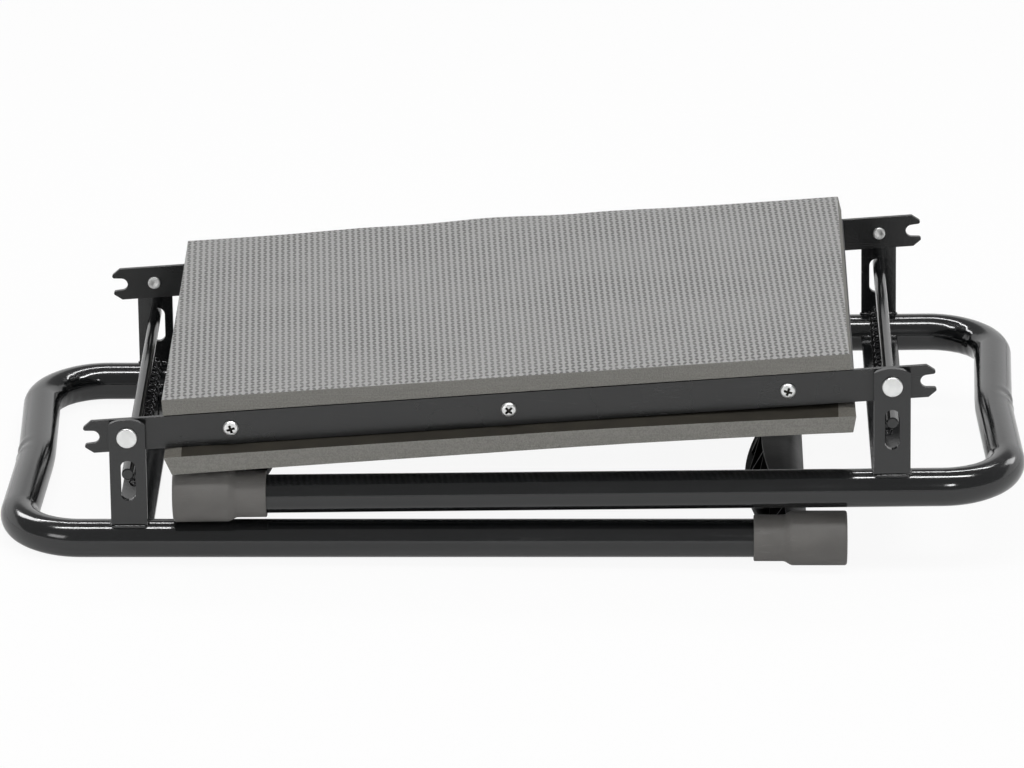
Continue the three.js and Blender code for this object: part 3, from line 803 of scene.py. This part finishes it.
dome_share = np.linspace(0.0, 1.0, 10)[:, None]
head_dome = np.concatenate([
    dome_share * (head_radius - head_edge), head_top - head_fall * dome_share ** 2], -1)
head_rim = arc_points(head_radius - head_edge, head_top - head_fall - head_edge, head_edge, 1, 0, 8)
tail_rim = arc_points(tail_radius - tail_edge, tail_end + tail_edge, tail_edge, 0, -1, 5)
rivet_profile = np.concatenate([
    head_dome, head_rim,
    [[head_radius, head_seat], [shank_radius, head_seat], [shank_radius, clench], [tail_radius, clench]],
    tail_rim,
    [[dimple_radius, tail_end], [dimple_floor_radius, tail_end + dimple_depth],
     [0.0, tail_end + dimple_depth]]])
washer_profile = [[rivet_hole, washer_low], [washer_radius - washer_edge, washer_low],
                  [washer_radius, washer_low + washer_edge], [washer_radius, washer_high - washer_edge],
                  [washer_radius - washer_edge, washer_high], [rivet_hole, washer_high],
                  [rivet_hole, washer_low]]
rivet_points, rivet_faces = turned(rivet_profile, rivet_sides)
washer_points, washer_faces = turned(washer_profile, rivet_sides, closed_ends=False)
for tag, x in (("a", 0.0), ("b", hinge_spacing)):
    for end, side in seat_sides:
        way = np.array([1.0, side, 1.0])
        hinge_line = [x, 0.0, 0.0]
        made(f"{tag}_hinge_rivet_{end}", placed(rivet_points * way + hinge_line, on_seat), rivet_faces, zinc,
             "seat", [f"{tag}_pivot_rivet_{end}"])
        made(f"{tag}_hinge_washer_{end}", placed(washer_points * way + hinge_line, on_seat),
             washer_faces, nylon, "seat", [f"{tag}_washer_{end}"])

# Seat screws: pan heads with a cross recess, three through each rail into the seat board. They
# are bright zinc plated, and each stopped at its own angle when it was driven home.
# Painted shade: the faces sunk into the cross recess take this dark brownish finish, as shade falls in the
# recess.
shaded_recess_finish = finish("screw_recess_painted_shade", (0.018, 0.016, 0.013), (0.04, 0.036, 0.03), (0.5, 0.7), 0.02,
                     300.0, 1400.0, rub=0.3, rub_colour=(0.2, 0.2, 0.19), metallic=0.6)
screw_seat = 120.9 * MM
screw_head_radius = 4.5 * MM
screw_head_height = 2.4 * MM
screw_shank = 2.1 * MM
screw_length = 11.0 * MM
screw_point = 4.0 * MM
screw_tip = 0.3 * MM
recess_half_width = 0.62 * MM
recess_reach = 2.5 * MM
recess_depth = 1.25 * MM
recess_side_run = 0.18 * MM
recess_end_run = 0.5 * MM
recess_shade_from = 0.25 * MM
recess_shade_to = 2.0 * MM
dome_fall_share = 0.42
dome_power = 2.6
rim_fall_share = 0.3
rim_start_share = 0.86
screw_turns = (0.25, 0.7, 1.2, 0.4, 0.95, 0.1)
screw_sides = 72


def pan_dome(share):
    """Height of the screw head at a share of its radius, before its rim falls away."""
    return screw_head_height * (1 - dome_fall_share * share ** dome_power)


def recess_arm(far, near):
    """One arm of the cross: one inside it, nought outside, with short slopes for walls."""
    half_run = recess_side_run / 2
    return rise(-near, -recess_half_width - half_run, -recess_half_width + half_run) * rise(
        -far, -recess_reach, -recess_reach + recess_end_run)


def screw_rings(turn):
    """Head as a domed disc sunk by a cross, then its rim, shank and point, as rings about y."""
    angle = np.linspace(0.0, 2 * np.pi, screw_sides, endpoint=False)[None, :]
    share = np.linspace(0.0, 1.0, 26)[:, None]
    radius = np.maximum(share * screw_head_radius, on_axis)
    over = np.abs(radius * np.cos(angle - turn))
    beside = np.abs(radius * np.sin(angle - turn))
    sunk = recess_depth * np.maximum(recess_arm(over, beside), recess_arm(beside, over))
    rim_fall = screw_head_height * rim_fall_share * rise(share, rim_start_share, 1.0)
    top = screw_seat + pan_dome(share) - rim_fall - sunk
    head = np.stack([radius * np.cos(angle), top, radius * np.sin(angle)], -1)
    screw_end = screw_seat - screw_length
    below = [[screw_head_radius, screw_seat], [screw_shank, screw_seat],
             [screw_shank, screw_end + screw_point], [screw_tip, screw_end]]
    rings = [np.stack([r * np.cos(angle[0]), np.full(screw_sides, y), r * np.sin(angle[0])], -1)
             for r, y in below]
    return np.concatenate([head, np.array(rings)])


for row, (end, side) in enumerate(seat_sides):
    for index, x in enumerate(screw_places):
        rings = screw_rings(screw_turns[row * len(screw_places) + index])
        points, faces = skin(rings * np.array([1.0, side, 1.0]) + [x, 0.0, 0.0])
        screw = made(f"cross_head_screw_{end}_{index + 1}", placed(points, on_seat), faces, zinc, "seat",
                     [f"seat_screw_{end}_{index + 1}"], 32.0)
        screw.data.materials.append(shaded_recess_finish)
        seat_centre = placed(np.array([[x, side * screw_seat, 0.0]]), on_seat)
        offset = np.array([face.center for face in screw.data.polygons]) - seat_centre
        from_axis = np.hypot(offset @ seat_along, offset @ seat_up)
        sunk = pan_dome(from_axis / screw_head_radius) - offset[:, 1] * side
        # Faces sunk into the cross, below its shallow mouth, take the painted shade.
        in_cross = (sunk > recess_shade_from) & (sunk < recess_shade_to) & (from_axis < recess_reach)
        screw.data.polygons.foreach_set("material_index", in_cross.astype(np.int32))

# Seat board: a hollow-section plastic board between the rails, open at its ends, that the
# screws bite into and the two pads are glued on. Only its ends can be seen.
board_plastic = finish("board_plastic", (0.04, 0.04, 0.041), (0.055, 0.055, 0.056), (0.45, 0.6), 0.03,
                       25.0, 500.0, rub=0.5, rub_colour=(0.12, 0.12, 0.12))
board_edge = 0.3 * MM
board_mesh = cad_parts["seat_board"].data.copy()
cleaned(board_mesh, 0.01 * MM, outwards=False)
board = carried("hollow_seat_board", board_mesh, board_plastic, "seat", ["seat_board"], 30.0)
rounded_edges(board, board_edge, 1)

# Foam pads: closed-cell foam sheets glued above and below the board. Their outer faces are
# embossed with rows of short dashes and their cut sides are plain. The upper pad's rear edge
# has crept up in places, and the lower pad sags at its front and droops at its right end.
pad_start = 20.5 * MM
pad_end = hinge_spacing - 20.5 * MM
pad_thickness = 10.2 * MM
pad_low = 10.0 * MM
pad_near = 122.0 * MM
pad_far = 132.6 * MM
pad_cell = 4.2 * MM
pad_edge_steps = np.array([0.0, 0.7, 2.0]) * MM
pad_layer_shares = np.array([0.0, 0.06, 0.35, 0.65, 0.94, 1.0])
pad_swell_cap = 0.9 * MM
swell_room_share = 0.25
cloth_frames = 20
cloth_settings = {"use_pressure": True, "uniform_pressure_force": 4.0, "tension_stiffness": 40.0,
                  "compression_stiffness": 40.0, "bending_stiffness": 5.0}
upper_slant = 1.8 * MM
crest_shares = ((0.47, 0.09), (0.27, 0.08), (0.66, 0.07))
crest_heights = (1.9 * MM, 0.9 * MM, 1.0 * MM)
crest_from_share = 0.72
lower_growth = 2.0 * MM
lower_thinning_share = 0.5
lower_reach = 1.3 * MM
lower_slants = (4.0 * MM, 2.6 * MM)
sag_drop = 0.9 * MM
sag_start = 102.0 * MM
sag_full = 114.0 * MM
sag_from_left = (22.0 * MM, 34.0 * MM)
sag_from_right = (8.0 * MM, 16.0 * MM)
sag_past_rail = (-0.4 * MM, 0.6 * MM)
end_droop = 2.8 * MM
# Runs at the pad ends where the inner faces take a lighter painted shade.
lighter_shade_end_runs = (11.0 * MM, 10.0 * MM)
face_slope = 0.55
column_pitch = 3.5 * MM
column_lean = 13.8
row_pitch = 3.723 * MM
row_lean = -6.0
zigzag_share = 0.12
dash_half_shares = (0.12, 0.13)
link_share = 0.34
emboss_mm = 0.55
cut_side_mm = 0.12


def dash_group():
    """Columns of dashes joined by links that lean left and right in turn, neighbours opposite."""
    group, given, result = new_group("embossed dashes", [("Vector", "NodeSocketVector", None)], ["Dash"])
    apart = node(group, "ShaderNodeSeparateXYZ", {0: given.outputs["Vector"]})
    x = apart.outputs["X"]
    y = apart.outputs["Y"]
    column = maths(group, "MULTIPLY_ADD", x, 1 / column_pitch, maths(group, "MULTIPLY", y, column_lean))
    row = maths(group, "MULTIPLY_ADD", y, 1 / row_pitch, maths(group, "MULTIPLY", x, row_lean))
    half_turns = maths(group, "MULTIPLY", row, float(np.pi))
    bulge = maths(group, "ABSOLUTE", maths(group, "SINE", half_turns))
    turn = maths(group, "MULTIPLY_ADD", maths(group, "PINGPONG", maths(group, "FLOOR", column), 1.0),
                 -2 * zigzag_share, zigzag_share)
    lean = maths(group, "MULTIPLY", maths(group, "COSINE", half_turns), turn)
    off = maths(group, "SUBTRACT", maths(group, "SUBTRACT", maths(group, "FRACT", column), 0.5), lean)
    least, more = dash_half_shares
    edge = maths(group, "SUBTRACT", maths(group, "ABSOLUTE", off),
                 maths(group, "MULTIPLY_ADD", bulge, more, least))
    dash = maths(group, "MULTIPLY", ranged(group, edge, -0.1, 0.14, 1.0, 0.0),
                 maths(group, "MULTIPLY_ADD", bulge, 1 - link_share, link_share))
    group.links.new(dash, result.inputs["Dash"])
    return group


dashes = dash_group()


def foam(name, colour, dash_shade_and_streak_colour, embossed):
    """Foam: an embossed face with painted shade in its sunk dashes, or a cut side with faint long streaks."""
    material, tree, shader, place, cloud, small = grained_material(name, 22.0, 1100.0, 0.2)
    shader.inputs["Sheen Weight"].default_value = 0.08
    if embossed:
        pattern = node(tree, "ShaderNodeGroup", {"Vector": place}, node_tree=dashes).outputs["Dash"]
        # Painted shade: the sunk dashes are darkened as shade would fall in them.
        dash_shade_and_streak_mark = maths(tree, "MULTIPLY", pattern, ranged(tree, cloud, 0.0, 1.0, 0.8, 1.0))
        height = maths(tree, "SUBTRACT", maths(tree, "MULTIPLY", small, 0.12), pattern)
    else:
        seat_tilt = float(np.arctan2(seat_along[2], seat_along[0]))
        stretched = node(tree, "ShaderNodeMapping", {
            "Vector": place, "Rotation": (0.0, seat_tilt, 0.0), "Scale": (0.03, 1.0, 1.0)})
        streak = node(tree, "ShaderNodeTexNoise", {
            "Vector": stretched.outputs["Vector"], "Scale": 1500.0, "Detail": 2.0})
        speckle = maths(tree, "ADD", maths(tree, "MULTIPLY", streak.outputs["Fac"], 0.5),
                        maths(tree, "MULTIPLY", small, 0.5))
        dash_shade_and_streak_mark = ranged(tree, speckle, 0.2, 0.8)
        height = maths(tree, "ADD", small, dash_shade_and_streak_mark)
    tree.links.new(blended(tree, dash_shade_and_streak_mark, colour, dash_shade_and_streak_colour), shader.inputs["Base Color"])
    tree.links.new(ranged(tree, small, 0.0, 1.0, 0.78, 0.92), shader.inputs["Roughness"])
    bumped(tree, shader, height, emboss_mm if embossed else cut_side_mm, 0.8)
    return material


# The embossed face's darker colour is painted shade for its sunk dashes.
foam_face = foam("grey_foam_face", (0.4, 0.398, 0.393), (0.13, 0.129, 0.126), True)
foam_side = foam("grey_foam_side", (0.235, 0.231, 0.213), (0.188, 0.185, 0.17), False)
# Painted shade: the pads' inner faces, toward the board, are darkened to the shade that the rail and board
# cast on the lower pad's ledge.
painted_shade_foam = finish("grey_foam_ledge_painted_shade", (0.031, 0.028, 0.0225), (0.042, 0.038, 0.03), (0.8, 0.95), 0.05,
                   60.0, 1100.0, rub=0.0, specular=0.1)
# Painted shade, lighter: the inner faces near the pad ends, where less shade falls on the ledge, are the
# cut-side foam darkened less.
lighter_painted_shade_foam = foam("grey_foam_ends_painted_shade", (0.15, 0.142, 0.122), (0.12, 0.114, 0.098), False)


def crowded(low, high):
    """Places from low to high, a cell apart in the middle and crowded at both ends."""
    inner = np.linspace(low + pad_edge_steps[-1], high - pad_edge_steps[-1],
                        int(round((high - low) / pad_cell)))
    return np.concatenate([low + pad_edge_steps[:-1], inner, high - pad_edge_steps[-2::-1]])


def block_skin(xs, ys, zs):
    """Quads over the six sides of a block of lattice points, shared along its edges."""
    index = np.arange(len(xs) * len(ys) * len(zs)).reshape(len(xs), len(ys), len(zs))
    sides = []
    for sheet in (index[0], index[-1], index[:, 0], index[:, -1], index[:, :, 0], index[:, :, -1]):
        corners = [sheet[:-1, :-1], sheet[1:, :-1], sheet[1:, 1:], sheet[:-1, 1:]]
        sides.append(np.stack(corners, -1).reshape(-1, 4))
    used, quads = np.unique(np.concatenate(sides), return_inverse=True)
    i, j, k = np.unravel_index(used, index.shape)
    return np.stack([xs[i], ys[j], zs[k]], -1), quads.reshape(-1, 4)


def swollen(points, quads):
    """The pad's own small swell, from a cloth under light pressure, capped and read back."""
    mesh = bpy.data.meshes.new("foam work")
    mesh.from_pydata(points.tolist(), [], quads.tolist())
    cleaned(mesh)
    body = in_scene("foam work", mesh)
    cloth = body.modifiers.new("swell", "CLOTH")
    for label, value in cloth_settings.items():
        setattr(cloth.settings, label, value)
    cloth.settings.effector_weights.gravity = 0.0
    cloth.point_cache.frame_start = 1
    cloth.point_cache.frame_end = cloth_frames
    for step in range(1, cloth_frames + 1):
        bpy.context.scene.frame_set(step)
    shown = body.evaluated_get(bpy.context.evaluated_depsgraph_get()).to_mesh()
    shift = np.array([vertex.co for vertex in shown.vertices]) - points
    bpy.context.scene.frame_set(1)
    bpy.data.objects.remove(body)
    bpy.data.meshes.remove(mesh)
    length = np.linalg.norm(shift, axis=1, keepdims=True)
    return points + shift * np.minimum(1.0, pad_swell_cap / np.maximum(length, 0.001 * MM))


def upper_form(points):
    """The upper pad: its right end cut at a slant, its rear edge crept up in three low crests."""
    x, y, z = points.T
    outer = rise(z, pad_low, pad_low + pad_thickness)
    along = (x - pad_start) / (pad_end - pad_start)
    over = (y + pad_near) / (pad_near + pad_far)
    crest = sum(height * hump(along - place, run)
                for (place, run), height in zip(crest_shares, crest_heights))
    shaped = points.copy()
    shaped[:, 0] -= upper_slant * outer * along
    shaped[:, 2] += crest * rise(over, crest_from_share, 1.0) ** 2 * outer
    return shaped


def lower_form(points):
    """The lower pad, turned over: thicker to the left, slanted ends, a sagging edge, a droop."""
    x, y, z = points.T
    outer = rise(z, pad_low, pad_low + pad_thickness)
    along = (x - pad_start) / (pad_end - pad_start)
    sagging = np.maximum(rise(x - pad_start, *sag_from_left) * rise(pad_end - x, *sag_from_right),
                         rise(y - rail_outer, *sag_past_rail)) * rise(y, sag_start, sag_full)
    shaped = points.copy()
    shaped[:, 0] += (outer * lower_slants[0] - lower_reach) * (1 - along) - outer * lower_slants[1] * along
    shaped[:, 2] += lower_growth * outer * (1 - lower_thinning_share * along)
    shaped[:, 2] += sag_drop * sagging * (1 - outer) + end_droop * rise(along, 0.5, 1.0) ** 2
    return shaped * np.array([1.0, -1.0, -1.0])


pad_points, pad_quads = block_skin(crowded(pad_start, pad_end), crowded(-pad_near, pad_far),
                                   pad_low + pad_thickness * pad_layer_shares)
centre = np.array([(pad_start + pad_end) / 2, (pad_far - pad_near) / 2, pad_low + pad_thickness / 2])
size = np.array([pad_end - pad_start, pad_far + pad_near, pad_thickness])
room = 2 * pad_swell_cap * swell_room_share
pad_points = swollen(centre + (pad_points - centre) * (1 - room / size), pad_quads)
for end, shaped, side in (("upper", upper_form(pad_points), 1.0), ("lower", lower_form(pad_points), -1.0)):
    pad = made(f"embossed_pad_{end}", placed(shaped, on_seat), pad_quads, foam_face, "seat",
               [f"pad_{end}"], 180.0)
    for material in (foam_side, painted_shade_foam, lighter_painted_shade_foam):
        pad.data.materials.append(material)
    flatness = np.array([face.normal for face in pad.data.polygons]) @ seat_up * side
    centres = shaped[pad_quads].mean(axis=1)[:, 0]
    lighter_shade_ends = (centres < pad_start + lighter_shade_end_runs[0]) | (centres > pad_end - lighter_shade_end_runs[1])
    # Faces toward the board take the painted shade, lighter towards the pad ends. Faces away from it take the
    # embossed face, and the rest are cut sides.
    kinds = np.where(flatness > face_slope, 0, np.where(flatness < -face_slope, np.where(lighter_shade_ends, 3, 2), 1))
    pad.data.polygons.foreach_set("material_index", kinds.astype(np.int32))
    smooth = pad.modifiers.new("foam edges", "SUBSURF")
    smooth.levels = 1
    smooth.render_levels = 1

# Studio: a pale floor that keeps the stool's shadow, a white sweep round the horizon under a
# dimmer ceiling, and long strip lamps overhead and behind that draw lines along the tubes.
floor_half = 30.0
floor_camera_share = 0.92
floor_mirrored_share = 0.3
ceiling_level = 0.3
stool_middle = (0.0, 0.0, 0.06)

floor_mesh = bpy.data.meshes.new("floor")
floor_mesh.from_pydata([(x * floor_half, y * floor_half, 0.0) for x, y in corner_signs], [], [(0, 1, 2, 3)])
in_scene("floor", floor_mesh)


def seen_directly(tree):
    """One where a ray comes from the camera, a reflection or through glass, and nought elsewhere."""
    path = tree.nodes.new("ShaderNodeLightPath")
    shiny = maths(tree, "MAXIMUM", path.outputs["Is Camera Ray"], path.outputs["Is Glossy Ray"])
    return maths(tree, "MAXIMUM", shiny, path.outputs["Is Transmission Ray"])


floor_finish = bpy.data.materials.new("pale_floor")
floor_finish.use_nodes = True
floor_tree = floor_finish.node_tree
floor_tree.nodes.clear()
pale = node(floor_tree, "ShaderNodeBsdfDiffuse", {"Color": (0.95, 0.95, 0.95, 1.0)})
white = node(floor_tree, "ShaderNodeEmission", {"Color": (1.0, 1.0, 1.0, 1.0), "Strength": 1.0})
path = floor_tree.nodes.new("ShaderNodeLightPath")
mirrored = maths(floor_tree, "MULTIPLY", path.outputs["Is Glossy Ray"], floor_mirrored_share)
seen = maths(floor_tree, "MULTIPLY", path.outputs["Is Camera Ray"], floor_camera_share)
both = node(floor_tree, "ShaderNodeMixShader", {
    0: maths(floor_tree, "MAXIMUM", seen, mirrored), 1: pale.outputs[0], 2: white.outputs[0]})
node(floor_tree, "ShaderNodeOutputMaterial", {"Surface": both.outputs[0]})
floor_mesh.materials.append(floor_finish)

world = bpy.data.worlds.new("studio")
bpy.context.scene.world = world
world.use_nodes = True
sky = world.node_tree
sky.nodes.clear()
direction = node(sky, "ShaderNodeSeparateXYZ", {0: sky.nodes.new("ShaderNodeTexCoord").outputs["Generated"]})
backdrop_height = ranged(sky, direction.outputs["Y"], -0.2, 0.5, 0.08, 0.46)
low_sky = ranged(sky, maths(sky, "DIVIDE", direction.outputs["Z"], backdrop_height), 0.85, 1.05, 1.0, 0.0)
shown = maths(sky, "MULTIPLY", low_sky, seen_directly(sky))
level = maths(sky, "ADD", maths(sky, "MULTIPLY", shown, 1.0 - ceiling_level), ceiling_level)
background = node(sky, "ShaderNodeBackground", {"Color": (1.0, 1.0, 1.0, 1.0), "Strength": level})
node(sky, "ShaderNodeOutputWorld", {"Surface": background.outputs[0]})


def soft_lamp(name, spot, length, width, power, shines):
    """A soft lamp turned to the stool, its length level; it shines in gloss only, or only lights."""
    data = bpy.data.lights.new(name, "AREA")
    data.shape = "RECTANGLE"
    data.size = length
    data.size_y = width
    data.energy = power
    lamp = in_scene(name, data)
    facing = (Vector(stool_middle) - Vector(spot)).normalized()
    side = facing.cross(Vector((0.0, 0.0, 1.0))).normalized()
    turn = Matrix((side, side.cross(facing), -facing)).transposed()
    lamp.matrix_world = Matrix.Translation(spot) @ turn.to_4x4()
    lamp.visible_diffuse = not shines
    lamp.visible_glossy = shines


for name, spot, length, width, power in (
        ("overhead light", (0.0, -0.26, 1.85), 2.2, 0.4, 15.0),
        ("rear light", (0.0, 1.10, 1.75), 2.2, 0.4, 8.0),
        ("left side light", (-2.7, -1.6, 0.95), 1.2, 1.2, 27.0),
        ("right side light", (2.7, -1.6, 0.95), 1.2, 1.2, 27.0)):
    soft_lamp(name, spot, length, width, power, shines=False)
for name, spot, length, width, power in (
        ("overhead strip", (0.0, -0.256, 1.82), 2.2, 0.16, 30.0),
        ("rear strip", (0.0, 1.08, 1.72), 2.2, 0.11, 18.0),
        ("rear left box", (-1.3, 1.0, 1.45), 0.5, 0.7, 11.0),
        ("rear right box", (1.6, 1.1, 1.0), 0.5, 0.6, 4.0),
        ("front left box", (-1.6, -1.9, 1.0), 0.9, 0.6, 7.0),
        ("front right box", (0.75, -2.2, 1.4), 0.4, 0.35, 8.0)):
    soft_lamp(name, spot, length, width, power, shines=True)

# Camera: a long lens from the front and a little above, as the photograph was taken.
camera_turn = np.radians(-0.8922)
camera_fall = np.radians(22.1237)
camera_roll = np.radians(0.1869)
camera_distance = 4.2457
camera_aim = np.array([-3.0525, 122.1, 10.6706]) * MM
focal_pixels = 7034.74
picture_width = 1024.0
sensor_width_mm = 36.0
forward = np.array([np.sin(camera_turn) * np.cos(camera_fall),
                    np.cos(camera_turn) * np.cos(camera_fall), -np.sin(camera_fall)])
level_right = np.array([np.cos(camera_turn), -np.sin(camera_turn), 0.0])
level_up = np.cross(level_right, forward)
right = level_right * np.cos(camera_roll) + level_up * np.sin(camera_roll)
above = level_up * np.cos(camera_roll) - level_right * np.sin(camera_roll)
camera_data = bpy.data.cameras.new("camera")
camera_data.sensor_width = sensor_width_mm
camera_data.lens = focal_pixels / picture_width * sensor_width_mm
camera_data.clip_end = 100.0
camera = in_scene("camera", camera_data)
turn = Matrix((Vector(right), Vector(above), Vector(-forward))).transposed()
camera.matrix_world = Matrix.Translation(Vector(camera_aim - forward * camera_distance)) @ turn.to_4x4()
bpy.context.scene.camera = camera
bpy.context.scene.view_settings.view_transform = "Standard"
